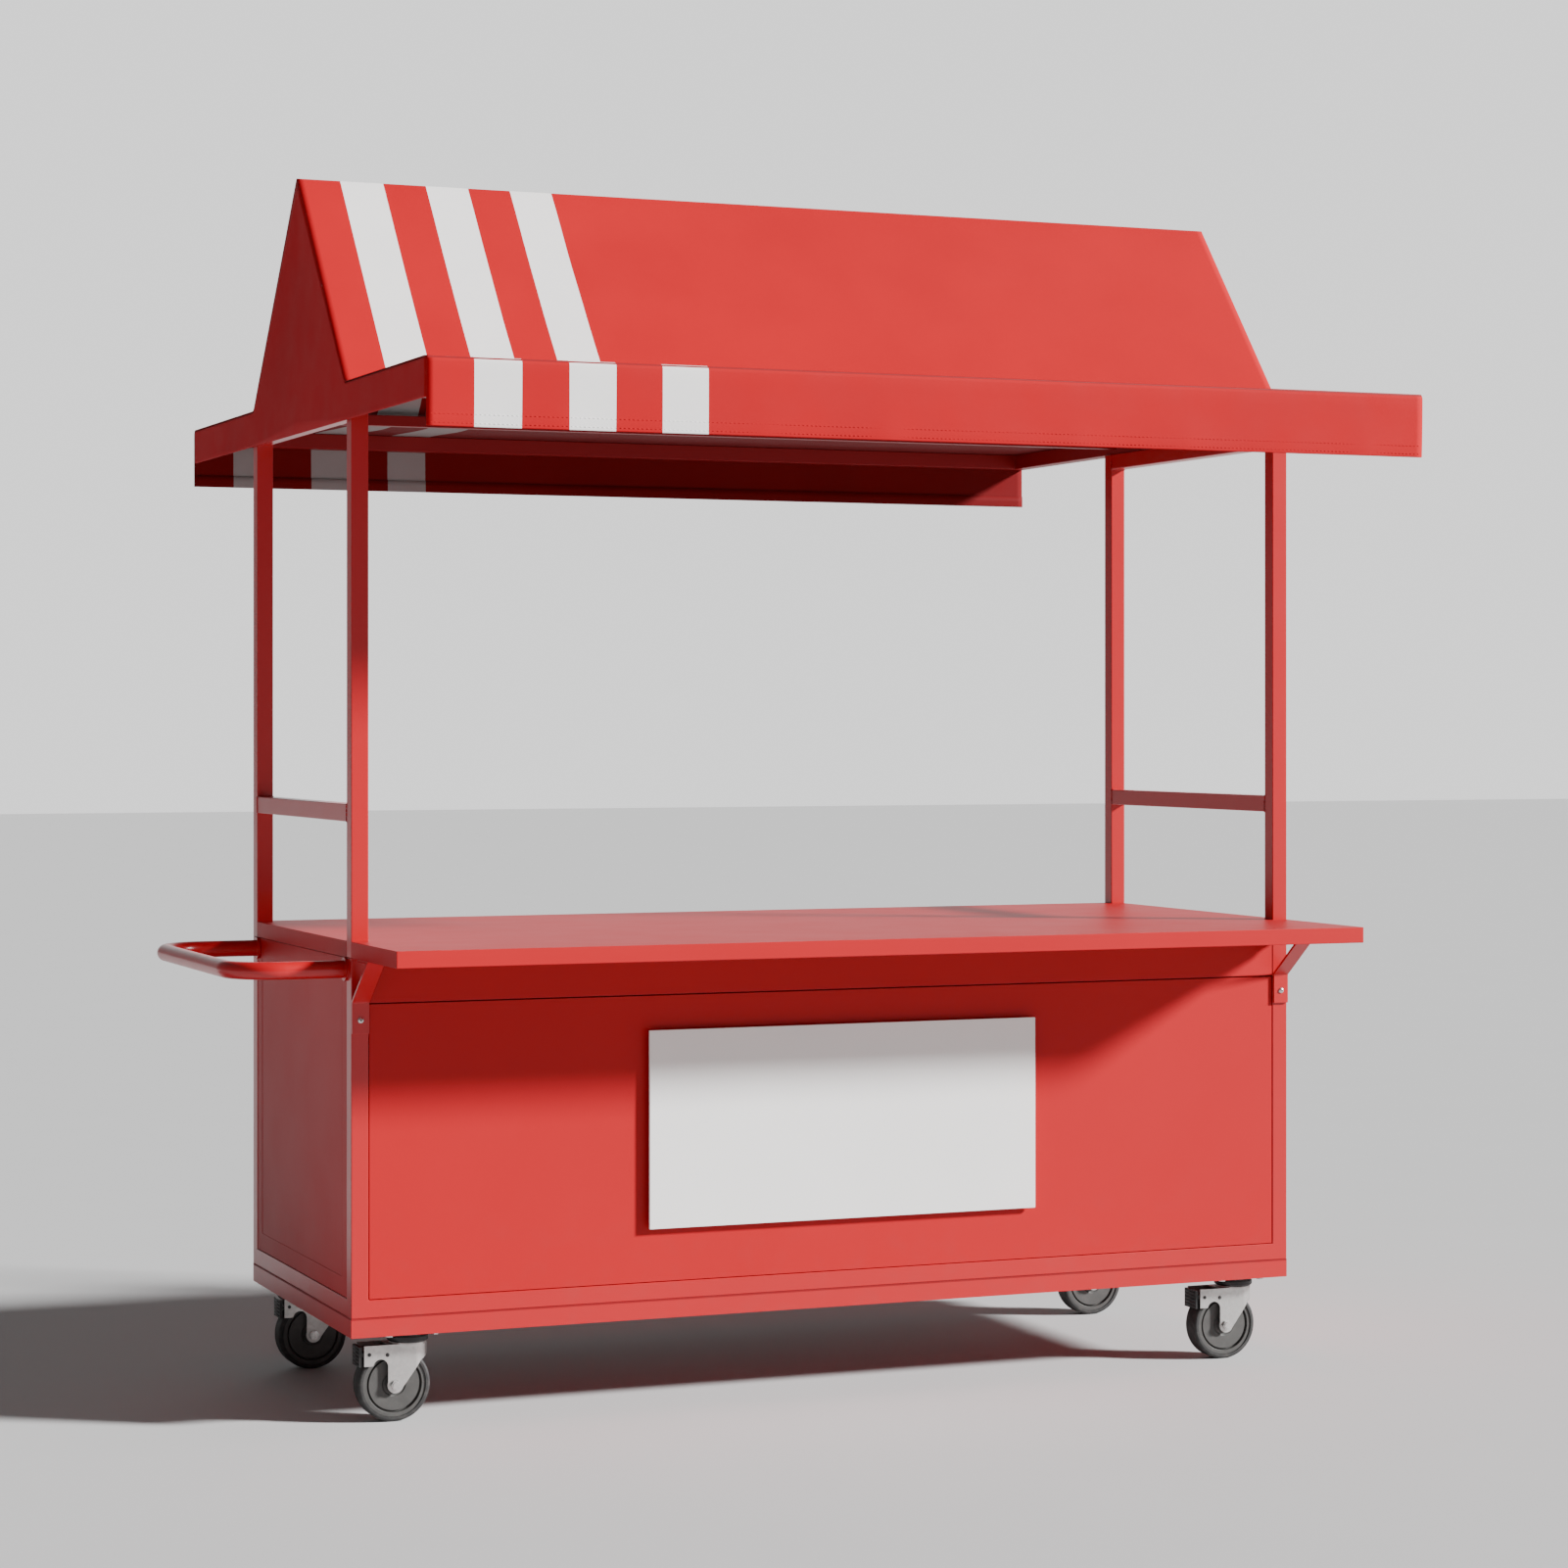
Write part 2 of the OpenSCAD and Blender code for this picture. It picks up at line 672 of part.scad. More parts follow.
module caster_plates() color(ZINC) {
    for (c = CASTERS) translate([c[1], c[2], 0]) difference() {
        union() {
            translate([-plate_l / 2, -plate_w / 2, z_plate]) cube([plate_l, plate_w, plate_t]);
            translate([0, 0, z_cup]) cylinder(r = cup_r, h = cup_h, $fn = round_fn);
        }
        translate([0, 0, z_cup - cut]) cylinder(r = kingpin_r, h = cup_h + plate_t + 2 * cut, $fn = round_fn);
        for (sx = [-1, 1], sy = [-1, 1]) translate([sx * bolt_x / 2, sy * bolt_y / 2, z_plate - cut])
            cylinder(r = bolt_r + run_gap, h = plate_t + 2 * cut, $fn = round_fn);
    }
}

// Each bolt goes up through the plate into a weld nut inside a cross tube
module caster_bolts() color(STEEL) {
    for (c = CASTERS, sx = [-1, 1], sy = [-1, 1])
        translate([c[1] + sx * bolt_x / 2, c[2] + sy * bolt_y / 2, 0]) {
            translate([0, 0, z_plate - bolt_head_h]) hex(bolt_head_r, bolt_head_h);
            translate([0, 0, z_plate - cut]) cylinder(r = bolt_r, h = plate_t + tube / 2, $fn = round_fn);
            translate([0, 0, caster_h + tube_wall]) hex(bolt_head_r, bolt_head_h + 1);
        }
}

module kingpins() color(STEEL) {
    z_head = z_fork - side_gap - kingpin_head_h;
    for (c = CASTERS) translate([c[1], c[2], z_head]) {
        cylinder(r = kingpin_head_r, h = kingpin_head_h, $fn = round_fn);
        cylinder(r = kingpin_r, h = caster_h - z_head, $fn = round_fn);
    }
}

// The fork from above: two cheeks joined by a half-round nose, inside or outside
module fork_plan(half, back) {
    translate([back, -half]) square([nose_x - back, 2 * half]);
    translate([nose_x, 0]) circle(r = half, $fn = round_fn);
}

// The fork from the side: ear, arched notch, leg down to the axle, and the nose's sloping edge
module fork_side() {
    leg = 13;
    notch_r = 13;
    z_notch = z_fork - 34;
    difference() {
        union() {
            translate([-caster_trail, wheel_r]) circle(r = leg + 1, $fn = round_fn);
            polygon([
                [ear_x, z_fork + fork_t], [ear_x, z_fork - ear_h],
                [-caster_trail - leg - 2 * notch_r, z_fork - ear_h], [-caster_trail - leg, z_fork - ear_h],
                [-caster_trail - leg, wheel_r], [leg - caster_trail, wheel_r - 5],
                [6, z_fork - 43], [17, z_fork - 27], [nose_x + fork_out, z_fork - 17],
                [nose_x + fork_out, z_fork + fork_t]
            ]);
        }
        translate([-caster_trail - leg - notch_r, z_notch]) circle(r = notch_r, $fn = round_fn);
        translate([-caster_trail, wheel_r]) circle(r = axle_r, $fn = round_fn);
        translate([pedal_x, pedal_z]) circle(r = pedal_pin_r + run_gap, $fn = round_fn);
    }
}

module fork(c) color(ZINC) translate([c[1], c[2], 0]) {
    intersection() {
        translate([0, 0, wheel_r / 2]) linear_extrude(z_crown) difference() {
            fork_plan(fork_out, ear_x - cut);
            fork_plan(fork_in, ear_x - 2 * cut);
        }
        rotate([90, 0, 0]) linear_extrude(4 * fork_out, center = true) fork_side();
    }
    // Crown: a web between the cheeks with a disc on it, bored for the kingpin
    difference() {
        union() {
            translate([0, 0, z_fork]) linear_extrude(fork_t) fork_plan(fork_out, ear_x / 2);
            translate([0, 0, z_fork]) cylinder(r = crown_r, h = crown_t, $fn = round_fn);
        }
        translate([0, 0, z_fork - cut])
            cylinder(r = kingpin_r + run_gap, h = crown_t + 2 * cut, $fn = round_fn);
    }
}

module axle(c) color(STEEL) translate([c[1] - caster_trail, c[2], wheel_r]) rotate([90, 0, 0]) {
    head = 5;
    tip = 3;
    cylinder(r = axle_r, h = 2 * (fork_out + head) + tip, center = true, $fn = round_fn);
    for (s = [0, 1]) mirror([0, 0, s]) translate([0, 0, fork_out]) hex(9, head);
}

// The wheel's core, turned: hub, face, groove and rim, the same on both sides
module wheel(c) color(GREY) translate([c[1] - caster_trail, c[2], wheel_r]) rotate([90, 0, 0]) {
    hub = fork_in - side_gap;
    face = tread_w / 2 - 4;
    rim = tread_w / 2 - 2;
    half = [
        [13, hub], [15, face - 2], [19, face - 2], [21, face], [core_r - 11, face],
        [core_r - 10, face - 5], [core_r - 8, face - 5], [core_r - 7, rim], [core_r, rim]
    ];
    rotate_extrude($fn = round_fn) difference() {
        polygon([
            for (p = half) p,
            for (i = [len(half) - 1 : -1 : 0]) [half[i][0], -half[i][1]],
            [0, -hub],
            [0, hub]
        ]);
        translate([0, -hub - cut]) square([axle_r + run_gap, 2 * (hub + cut)]);
    }
}

module tread(c) color(BLACK) translate([c[1] - caster_trail, c[2], wheel_r]) rotate([90, 0, 0]) {
    edge = 5;
    h = tread_w / 2;
    rotate_extrude($fn = round_fn) difference() {
        union() {
            translate([core_r, -h]) square([tread_t - edge, tread_w]);
            translate([core_r, edge - h]) square([tread_t, tread_w - 2 * edge]);
            for (s = [-1, 1]) translate([wheel_r - edge, s * (h - edge)]) circle(r = edge, $fn = 48);
        }
        translate([0, -h - cut]) square([core_r, tread_w + 2 * cut]);
    }
}

// Brake pedal: a pin through both ears, a boss between them, and an upright foot plate
module pedal(c) color(BLACK) translate([c[1] + pedal_x, c[2], pedal_z]) {
    w = 2 * (fork_in - side_gap);
    reach = pedal_x - ear_x + 3;
    rotate([90, 0, 0]) {
        cylinder(r = pedal_pin_r, h = 2 * fork_out + 2, center = true, $fn = round_fn);
        cylinder(r = pedal_boss_r, h = w, center = true, $fn = round_fn);
    }
    translate([-reach, -w / 2, -pedal_t / 2]) cube([reach, w, pedal_t]);
    translate([-reach - pedal_t, -w / 2, 13 - pedal_h]) cube([pedal_t, w, pedal_h]);
}

// ---- What is drawn ----

chassis_frame();
cabinet_frame();
floor_panel();
inner_shelf();
front_panel();
front_fascia();
left_panel();
right_panel();
worktop();
front_shelf();
shelf_bracket_left();
shelf_bracket_right();
bracket_screws();
sign_board();
sign_spacers();
push_handle();
for (p = POSTS) post(p);
guard_bars();
cross_beams();
eaves_frame();
purlins();
ridge_tube();
rafters();
canopy_cover();
gable_left();
gable_right();
left_door();  // door_left
mirrored() left_door();  // door_right
left_pull();  // door_handle_left
mirrored() left_pull();  // door_handle_right
hinge_lowers();
left_uppers();  // hinge_uppers_left
mirrored() left_uppers();  // hinge_uppers_right
door_catches();
caster_plates();
caster_bolts();
kingpins();
for (c = CASTERS) {
    fork(c);
    axle(c);
    wheel(c);
    tread(c);
    pedal(c);
}
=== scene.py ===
"""Looks of the push vending cart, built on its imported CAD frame. Metres, +Z up, -Y serves."""
import json
import math
import random

import bpy
from mathutils import Matrix, Vector


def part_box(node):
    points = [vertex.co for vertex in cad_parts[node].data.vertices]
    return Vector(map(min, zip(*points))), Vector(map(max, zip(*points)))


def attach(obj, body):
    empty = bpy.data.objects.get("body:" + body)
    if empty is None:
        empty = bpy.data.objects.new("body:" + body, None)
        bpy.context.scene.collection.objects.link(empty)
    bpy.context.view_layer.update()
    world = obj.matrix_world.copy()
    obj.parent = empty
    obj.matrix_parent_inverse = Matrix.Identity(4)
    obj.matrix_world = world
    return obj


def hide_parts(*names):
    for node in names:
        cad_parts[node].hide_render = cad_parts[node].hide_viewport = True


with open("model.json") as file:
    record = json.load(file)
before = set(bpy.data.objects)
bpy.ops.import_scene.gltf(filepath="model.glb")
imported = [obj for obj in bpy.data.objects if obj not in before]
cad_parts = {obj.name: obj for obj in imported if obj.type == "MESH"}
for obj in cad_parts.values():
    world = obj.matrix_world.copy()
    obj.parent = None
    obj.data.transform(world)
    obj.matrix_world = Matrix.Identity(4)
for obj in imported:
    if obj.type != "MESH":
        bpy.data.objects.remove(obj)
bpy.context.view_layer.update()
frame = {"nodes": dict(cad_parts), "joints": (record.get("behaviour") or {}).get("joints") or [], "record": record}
NODES = frame["nodes"]
CORNERS = ("front_left", "front_right", "rear_left", "rear_right")
MM = 0.001

# ---- Places taken from the frame ----

CANOPY_LO, CANOPY_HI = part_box("canopy_cover")
EAVES_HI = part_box("eaves_frame")[1]
PURLIN_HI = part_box("purlins")[1]
GABLE_L_LO, GABLE_L_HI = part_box("gable_left")
GABLE_R_LO, GABLE_R_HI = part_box("gable_right")

# ---- Colours, linear ----

RED_FRAME = (0.460, 0.006, 0.011)
RED_PANEL = (0.450, 0.006, 0.011)
# The same red coat at about half brightness for the roof tubes and cabinet insides: painted shade
RED_SHADED_COAT = (0.250, 0.005, 0.008)
RED_CLOTH = (0.440, 0.003, 0.008)
# Brightness factor for the cloth's inward faces: painted shade for the dark under the canopy, on the same cloth
INSIDE_PAINTED_SHADE = 0.34
WHITE_CLOTH = (0.880, 0.860, 0.845)
WHITE_SIGN = (0.880, 0.872, 0.855)
ZINC = (0.560, 0.550, 0.535)
BRIGHT = (0.640, 0.635, 0.625)
CORE_GREY = (0.062, 0.060, 0.057)
TREAD_BLACK = (0.018, 0.017, 0.017)
BLACK = (0.012, 0.012, 0.013)
CATCH_WHITE = (0.720, 0.710, 0.690)
DUST = (0.210, 0.190, 0.170)
FLOOR_DIRT = (0.170, 0.075, 0.065)


# ---- Node-tree helpers ----

RANGE_SOCKETS = ("From Min", "From Max", "To Min", "To Max")


class Tree:
    """A material's node tree with short calls for the nodes that the materials here share."""

    def __init__(self, name):
        self.material = bpy.data.materials.new(name)
        self.material.use_nodes = True
        self.nodes = self.material.node_tree.nodes
        self.links = self.material.node_tree.links
        self.shader = self.nodes["Principled BSDF"]
        self.place = self.nodes.new("ShaderNodeTexCoord").outputs["Object"]

    def put(self, value, socket):
        if hasattr(value, "is_linked"):
            self.links.new(value, socket)
        else:
            socket.default_value = value

    def noise(self, scale, detail=3.0, rough=0.55, place=None):
        n = self.nodes.new("ShaderNodeTexNoise")
        self.links.new(place or self.place, n.inputs["Vector"])
        n.inputs["Scale"].default_value = scale
        n.inputs["Detail"].default_value = detail
        n.inputs["Roughness"].default_value = rough
        return n.outputs["Fac"]

    def stretched(self, scale):
        """Object coordinates scaled by a different amount along each axis."""
        n = self.nodes.new("ShaderNodeMapping")
        self.links.new(self.place, n.inputs["Vector"])
        n.inputs["Scale"].default_value = scale
        return n.outputs["Vector"]

    def voronoi(self, scale, place=None):
        n = self.nodes.new("ShaderNodeTexVoronoi")
        self.links.new(place or self.place, n.inputs["Vector"])
        n.inputs["Scale"].default_value = scale
        return n.outputs["Color"]

    def math(self, kind, a, b=0.0, clamp=False):
        n = self.nodes.new("ShaderNodeMath")
        n.operation = kind
        n.use_clamp = clamp
        self.put(a, n.inputs[0])
        self.put(b, n.inputs[1])
        return n.outputs[0]

    def ramp(self, value, low, high, to_low=0.0, to_high=1.0):
        n = self.nodes.new("ShaderNodeMapRange")
        self.put(value, n.inputs["Value"])
        for socket, number in zip(RANGE_SOCKETS, (low, high, to_low, to_high)):
            n.inputs[socket].default_value = number
        return n.outputs["Result"]

    def mix(self, factor, a, b):
        n = self.nodes.new("ShaderNodeMix")
        n.data_type = "RGBA"
        self.put(factor, n.inputs["Factor"])
        self.put(a if hasattr(a, "is_linked") else (*a, 1.0), n.inputs["A"])
        self.put(b if hasattr(b, "is_linked") else (*b, 1.0), n.inputs["B"])
        return n.outputs["Result"]

    def axis(self, which, place=None):
        n = self.nodes.new("ShaderNodeSeparateXYZ")
        self.links.new(place or self.place, n.inputs[0])
        return n.outputs[which]

    def bump(self, height, strength, distance, below=None):
        n = self.nodes.new("ShaderNodeBump")
        self.put(height, n.inputs["Height"])
        n.inputs["Strength"].default_value = strength
        n.inputs["Distance"].default_value = distance
        if below is not None:
            self.links.new(below, n.inputs["Normal"])
        return n.outputs["Normal"]

    def set(self, **sockets):
        for name, value in sockets.items():
            socket = self.shader.inputs[name.replace("_", " ")]
            self.put((*value, 1.0) if isinstance(value, tuple) and len(value) == 3 else value, socket)


def shade(colour, factor):
    return tuple(min(1.0, c * factor) for c in colour)


# ---- Materials ----

def powder_coat(name, colour, rough=0.38, gloss=0.25, scuffed=True):
    """Satin powder coat: orange peel, slight unevenness of tone, dust and scuffs near the floor."""
    t = Tree(name)
    tone = t.ramp(t.noise(2.6, 4.0), 0.3, 0.7)
    base = t.mix(tone, shade(colour, 0.98), shade(colour, 1.02))
    if scuffed:
        low = t.ramp(t.axis("Z"), 0.15, 0.42, 1.0, 0.0)
        dirt = t.math("MULTIPLY", low, t.ramp(t.noise(21.0, 6.0, 0.65), 0.50, 0.72), clamp=True)
        base = t.mix(t.math("MULTIPLY", dirt, 0.12), base, FLOOR_DIRT)
        marks = t.ramp(t.noise(1.0, 5.0, 0.7, t.stretched((14.0, 14.0, 90.0))), 0.70, 0.78)
        base = t.mix(t.math("MULTIPLY", marks, 0.06), base, shade(colour, 0.72))
    peel = t.noise(620.0, 2.0)
    wave = t.noise(38.0, 2.0)
    normal = t.bump(wave, 0.02, 0.0006, t.bump(peel, 0.08, 0.0002))
    uneven = t.ramp(t.noise(9.0, 5.0), 0.3, 0.7, rough - 0.02, rough + 0.02)
    t.set(Base_Color=base, Normal=normal, Roughness=uneven)
    t.set(Coat_Weight=gloss * 0.3)
    t.set(Specular_IOR_Level=gloss)
    t.set(Coat_Roughness=0.28)
    return t.material


def canvas(name, colour, stripes=None, tone=1.0):
    """Coated canvas with a fine plain weave, a soft sheen and faint creases; stripes run across X."""
    t = Tree(name)
    base = t.mix(t.ramp(t.noise(3.5, 4.0), 0.3, 0.7), shade(colour, 0.94), shade(colour, 1.05))
    if stripes:
        start, width, bands = stripes
        band = t.math("FLOOR", t.math("DIVIDE", t.math("SUBTRACT", t.axis("X"), start), width))
        odd = t.math("FLOORED_MODULO", band, 2.0)
        white = t.math("MULTIPLY", odd, t.math("LESS_THAN", band, bands - 0.5))
        patches = t.ramp(t.noise(5.0, 5.0), 0.35, 0.7)
        # A tone below 1 also darkens the white stripes, as painted shade for the inward faces
        pale = t.mix(patches, shade(WHITE_CLOTH, 0.96 * tone), shade(WHITE_CLOTH, tone))
        base = t.mix(white, base, pale)
    threads = t.nodes.new("ShaderNodeUVMap").outputs["UV"]
    weave = None
    for direction in ("X", "Y"):
        yarn = t.nodes.new("ShaderNodeTexWave")
        yarn.bands_direction = direction
        yarn.inputs["Scale"].default_value = 420.0
        yarn.inputs["Distortion"].default_value = 0.6
        t.links.new(threads, yarn.inputs["Vector"])
        weave = yarn.outputs["Fac"] if weave is None else t.math("MULTIPLY", weave, yarn.outputs["Fac"])
    base = t.mix(t.math("MULTIPLY", weave, 0.07), base, shade(colour, 0.55))
    creases = t.noise(1.0, 3.0, 0.5, t.stretched((2.2, 9.0, 9.0)))
    normal = t.bump(creases, 0.22, 0.006, t.bump(weave, 0.25, 0.0003))
    t.set(Base_Color=base, Normal=normal, Roughness=t.ramp(t.noise(14.0, 4.0), 0.3, 0.7, 0.66, 0.76))
    t.set(Sheen_Weight=0.02)
    t.set(Specular_IOR_Level=0.12)
    return t.material


def plated(name, colour, rough, brushed):
    """Zinc-plated pressed steel: faint spangle, a drawn grain and dull patches."""
    t = Tree(name)
    spangle = t.voronoi(160.0)
    grain = t.noise(1.0, 3.0, 0.6, t.stretched((90.0, 90.0, 900.0)))
    dull = t.math("MULTIPLY", t.noise(30.0, 4.0), 0.5)
    tone = t.math("ADD", dull, t.math("MULTIPLY", t.axis("X", spangle), 0.25))
    base = t.mix(t.ramp(tone, 0.15, 0.65), shade(colour, 0.82), shade(colour, 1.1))
    t.set(Base_Color=base, Roughness=t.ramp(tone, 0.15, 0.65, rough + 0.08, rough - 0.05))
    t.set(Normal=t.bump(grain, 0.10 * brushed, 0.0003))
    t.set(Metallic=0.85)
    return t.material


def moulded(name, colour, rough, grain_scale=900.0, dust=0.0):
    """Moulded nylon or rubber: fine grain, slightly uneven gloss, and dust where stated."""
    t = Tree(name)
    base = t.mix(t.ramp(t.noise(25.0, 5.0), 0.35, 0.7), shade(colour, 0.86), shade(colour, 1.12))
    if dust:
        settled = t.math("MULTIPLY", t.ramp(t.noise(70.0, 6.0, 0.7), 0.48, 0.7), dust)
        base = t.mix(settled, base, DUST)
    uneven = t.ramp(t.noise(40.0, 4.0), 0.3, 0.7, rough - 0.06, rough + 0.08)
    t.set(Base_Color=base, Roughness=uneven)
    t.set(Normal=t.bump(t.noise(grain_scale, 2.0), 0.16, 0.0003))
    return t.material


def sign_paint(name):
    """Matt white board: a faint rolled texture and a slightly warmer tone in patches."""
    t = Tree(name)
    base = t.mix(t.ramp(t.noise(4.0, 4.0), 0.3, 0.7), shade(WHITE_SIGN, 0.97), WHITE_SIGN)
    t.set(Base_Color=base, Roughness=t.ramp(t.noise(12.0, 4.0), 0.3, 0.7, 0.42, 0.52))
    t.set(Normal=t.bump(t.noise(500.0, 2.0), 0.08, 0.0002))
    return t.material


STRIPE_COUNT = 23
STRIPED_BANDS = 6
STRIPES = (CANOPY_LO.x, (CANOPY_HI.x - CANOPY_LO.x) / STRIPE_COUNT, STRIPED_BANDS)

MATERIALS = {
    "frame_red": powder_coat("powder_coat_frame", RED_FRAME, rough=0.30, gloss=0.45),
    "panel_red": powder_coat("powder_coat_panel", RED_PANEL, rough=0.50, gloss=0.18),
    # Inner sheet and roof tubes use the half-bright red: painted shade on the same red paint
    "inner_sheet": powder_coat("powder_coat_inner_painted_shade", RED_SHADED_COAT, rough=0.55, gloss=0.18),
    "roof_tube_red": powder_coat("powder_coat_roof_painted_shade", RED_SHADED_COAT, rough=0.45, scuffed=False),
    "canopy_cloth": canvas("canvas_striped", RED_CLOTH, STRIPES),
    "gable_cloth": canvas("canvas_plain", RED_CLOTH),
    # Darker copies of the canopy and gable cloth for their inward faces: painted shade on the same cloth
    "striped_inside_painted_shade": canvas("canvas_striped_painted_shade", shade(RED_CLOTH, INSIDE_PAINTED_SHADE), STRIPES, INSIDE_PAINTED_SHADE),
    "plain_inside_painted_shade": canvas("canvas_plain_painted_shade", shade(RED_CLOTH, INSIDE_PAINTED_SHADE)),
    "sign_white": sign_paint("sign_paint"),
    "bright_steel": plated("bright_zinc", BRIGHT, 0.26, 0.5),
    "zinc_plate": plated("pressed_zinc", ZINC, 0.36, 1.0),
    "wheel_grey": moulded("grey_nylon", CORE_GREY, 0.46, dust=0.10),
    "tyre_black": moulded("tread_rubber", TREAD_BLACK, 0.62, 500.0, dust=0.16),
    "pedal_black": moulded("black_nylon", BLACK, 0.42, dust=0.05),
    "handle_black": moulded("black_handle_nylon", BLACK, 0.38),
    "catch_plastic": moulded("white_plastic", CATCH_WHITE, 0.45),
}

SLOT_OF = {part["node"]: part["material_slot"] for part in frame["record"]["subparts"]}


# ---- CAD nodes: their materials, and a small radius on every folded or cut edge ----

EDGE_RADIUS = {
    "worktop": 2.2, "front_shelf": 2.2, "sign_board": 1.2, "chassis_frame": 1.8, "cabinet_frame": 1.8,
    "front_panel": 1.2, "front_fascia": 1.2, "left_panel": 1.2, "right_panel": 1.2, "guard_bars": 1.8,
    "cross_beams": 1.8, "eaves_frame": 1.8, "purlins": 1.4, "rafters": 1.4, "door_left": 1.6,
    "door_right": 1.6, "shelf_bracket_left": 0.9, "shelf_bracket_right": 0.9, "inner_shelf": 1.2,
    "door_catches": 1.0, "hinge_lowers": 0.6, "hinge_uppers_left": 0.6, "hinge_uppers_right": 0.6,
    "caster_plates": 0.6, "caster_bolts": 0.5, "kingpins": 0.5,
}
for corner in CORNERS:
    EDGE_RADIUS["post_" + corner] = 1.8
    EDGE_RADIUS["fork_" + corner] = 0.8
    EDGE_RADIUS["axle_" + corner] = 0.5
    EDGE_RADIUS["pedal_" + corner] = 1.0
    EDGE_RADIUS["wheel_" + corner] = 0.5


def soften(node, radius):
    """A weld, then a bevel on every edge sharper than 35 degrees."""
    weld = node.modifiers.new("weld", "WELD")
    weld.merge_threshold = 0.01 * MM
    bevel = node.modifiers.new("edge", "BEVEL")
    bevel.width = radius * MM
    bevel.segments = 3
    bevel.limit_method = "ANGLE"
    bevel.angle_limit = math.radians(35)
    bevel.use_clamp_overlap = True
    bevel.harden_normals = True


for name, node in NODES.items():
    node.data.materials.clear()
    node.data.materials.append(MATERIALS[SLOT_OF[name]])
    if name in EDGE_RADIUS:
        soften(node, EDGE_RADIUS[name])


# ---- Mesh helpers ----

def add_piece(name, mesh, body, material, smooth=True):
    piece = bpy.data.objects.new(name, mesh)
    bpy.context.scene.collection.objects.link(piece)
    mesh.materials.append(material)
    for face in mesh.polygons:
        face.use_smooth = smooth
    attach(piece, body)
    return piece


def mesh_of(name, points, faces):
    mesh = bpy.data.meshes.new(name)
    mesh.from_pydata(points, [], faces)
    mesh.validate()
    mesh.update()
    return mesh


def tube_between(points, radius, sides=8):
    """Points and faces of a closed round rod that follows a path of points."""
    rings, faces = [], []
    for i, p in enumerate(points):
        ahead = points[min(i + 1, len(points) - 1)] - points[max(i - 1, 0)]
        turn = ahead.to_track_quat("Z", "Y")
        for k in range(sides):
            a = 2 * math.pi * k / sides
            rings.append(p + turn @ Vector((radius * math.cos(a), radius * math.sin(a), 0)))
    for i in range(len(points) - 1):
        for k in range(sides):
            a, b = i * sides + k, i * sides + (k + 1) % sides
            faces.append((a, b, b + sides, a + sides))
    faces.append(tuple(reversed(range(sides))))
    faces.append(tuple(range((len(points) - 1) * sides, len(points) * sides)))
    return rings, faces


def lathe(outline, centre, turn=None, sides=64):
    """Points and faces of a ring or knob: (radius, height) pairs spun about Z, then put in place."""
    turn = turn or Matrix.Identity(3)
    points, faces = [], []
    for k in range(sides):
        a = 2 * math.pi * k / sides
        for r, h in outline:
            points.append(centre + turn @ Vector((r * math.cos(a), r * math.sin(a), h)))
    n = len(outline)
    for k in range(sides):
        for i in range(n):
            a, b = k * n + i, k * n + (i + 1) % n
            c, d = ((k + 1) % sides) * n + (i + 1) % n, ((k + 1) % sides) * n + i
            faces.append((a, d, c, b))
    return points, faces


def joined(shapes):
    """One list of points and faces from several."""
    points, faces = [], []
    for some_points, some_faces in shapes:
        start = len(points)
        points += some_points
        faces += [tuple(i + start for i in f) for f in some_faces]
    return points, faces


# ---- Canopy cloth ----

CLOTH = 1.0 * MM
SEW_STEP = 7 * MM
SEAM_PARTS = 24
HEM = 22 * MM
HEM_GAP = 2.4 * MM
RIDGE_FOLD = 2 * MM
# The cloth's mid-surface lies half its thickness above the tubes
WING_Z = EAVES_HI.z + CLOTH / 2 + 0.3 * MM
RIDGE_Z = CANOPY_HI.z - CLOTH / 2
VALANCE_Z = CANOPY_LO.z + CLOTH
HALF_DEPTH = CANOPY_HI.y - CLOTH / 2
HALF_GABLE = PURLIN_HI.y + 2.5 * MM
RAFTER_BAY = (CANOPY_HI.x - CANOPY_LO.x) / 2
# How deep the cloth hangs, in millimetres
WING_SAG = 5.0
SLOPE_SAG = 3.4
VALANCE_WAVE = 1.6


def rounded(points, radii, steps=6):
    """The (y, z) path through points with each inner corner replaced by an arc of the stated radius."""
    path = [points[0]]
    for a, b, c, r in zip(points, points[1:], points[2:], radii):
        u, v = (a - b).normalized(), (c - b).normalized()
        half = math.acos(max(-1.0, min(1.0, u.dot(v)))) / 2
        centre = b + (u + v).normalized() * (r / math.sin(half))
        start = b + u * (r / math.tan(half)) - centre
        end = b + v * (r / math.tan(half)) - centre
        first = math.atan2(start.y, start.x)
        turn = math.remainder(math.atan2(end.y, end.x) - first, 2 * math.pi)
        for k in range(steps + 1):
            angle = first + turn * k / steps
            path.append(centre + Vector((math.cos(angle), math.sin(angle))) * r)
    path.append(points[-1])
    return path


def finer(path, step):
    """The path with extra points wherever two neighbours are further apart than step."""
    out = [path[0]]
    for a, b in zip(path, path[1:]):
        n = max(1, math.ceil((b - a).length / step))
        out += [a.lerp(b, k / n) for k in range(1, n + 1)]
    return out


def canopy_half():
    """(y, z) points from the back of the front hem up to the ridge, as vectors."""
    y = HALF_DEPTH
    corners = [
        Vector((-y + HEM_GAP, VALANCE_Z + HEM)), Vector((-y + HEM_GAP, VALANCE_Z)), Vector((-y, VALANCE_Z)),
        Vector((-y, WING_Z)), Vector((-HALF_GABLE, WING_Z)), Vector((0, RIDGE_Z)),
    ]
    return rounded(corners, [1.0 * MM, 1.0 * MM, 9 * MM, 16 * MM])


